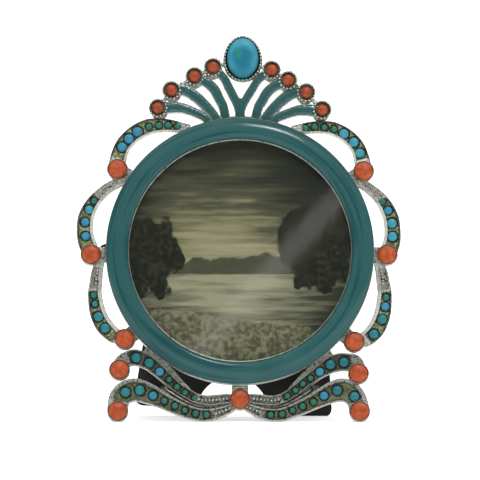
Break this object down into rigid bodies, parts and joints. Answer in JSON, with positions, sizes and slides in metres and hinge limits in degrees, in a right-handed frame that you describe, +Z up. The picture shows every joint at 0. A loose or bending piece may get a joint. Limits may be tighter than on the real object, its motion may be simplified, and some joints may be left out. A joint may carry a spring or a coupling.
{
  "type": "round photo frame",
  "caption": "Round photo frame on an easel back: enamelled ring, scrolled border set with round stones, fan-shaped crest with an oval stone, and a hinged leg.",
  "frame": {"origin": "on the table, under the middle of the whole frame's bounding box", "axes": "+Z up, -Y towards the viewer, +X to the viewer's right"},
  "size_m": [0.0742, 0.0244, 0.0872],
  "materials": {
    "silver": "antique silver",
    "teal_enamel": "glossy vitreous enamel",
    "turquoise": "polished",
    "coral": "polished",
    "glass": "clear",
    "print": "printed",
    "card": "plain",
    "black_metal": "matt black",
    "steel": "plain"
  },
  "bodies": {
    "frame": {"back_plate": "black_metal", "backing_card": "card", "base_boss": "silver", "boss_coral": "coral", "clip_rivets": "steel", "crest_casting": "silver", "crest_corals": "coral", "crest_enamel": "teal_enamel", "crest_oval_stone": "turquoise", "glass_disc": "glass", "hinge_pin": "steel", "lower_arm_left": "silver", "lower_arm_right": "silver", "lower_arm_stones_left": "turquoise", "lower_arm_stones_right": "turquoise", "lower_ribbon_left": "silver", "lower_ribbon_right": "silver", "lower_ribbon_stones_left": "turquoise", "lower_ribbon_stones_right": "turquoise", "middle_arm_left": "silver", "middle_arm_right": "silver", "middle_arm_stones_left": "turquoise", "middle_arm_stones_right": "turquoise", "photo_print": "print", "ring_casting": "silver", "ring_enamel": "teal_enamel", "side_corals_left": "coral", "side_corals_right": "coral", "side_settings_left": "silver", "side_settings_right": "silver", "upper_arm_left": "silver", "upper_arm_right": "silver", "upper_arm_stones_left": "turquoise", "upper_arm_stones_right": "turquoise", "upper_ribbon_left": "silver", "upper_ribbon_right": "silver", "upper_ribbon_stones_left": "turquoise", "upper_ribbon_stones_right": "turquoise"},
    "leg": {"easel_leg": "black_metal"},
    "left_clip": {"turn_clip_left": "black_metal"},
    "top_clip": {"turn_clip_top": "black_metal"},
    "bottom_clip": {"turn_clip_bottom": "black_metal"}
  },
  "joints": [
    {"name": "leg_fold", "type": "hinge", "parent": "frame", "child": "leg", "pos_m": [0.00099, 0.00213, 0.05248], "axis": [0.9978, -0.0115, -0.0653], "range_deg": [-20, 0]},
    {"name": "left_clip_turn", "type": "hinge", "parent": "frame", "child": "left_clip", "pos_m": [-0.02864, -0.00196, 0.04055], "axis": [0, -0.9848, 0.1736], "continuous": true},
    {"name": "top_clip_turn", "type": "hinge", "parent": "frame", "child": "top_clip", "pos_m": [0.0135, 0.00202, 0.06308], "axis": [0, -0.9848, 0.1736], "continuous": true},
    {"name": "bottom_clip_turn", "type": "hinge", "parent": "frame", "child": "bottom_clip", "pos_m": [0.0135, -0.0068, 0.01308], "axis": [0, -0.9848, 0.1736], "continuous": true}
  ]
}
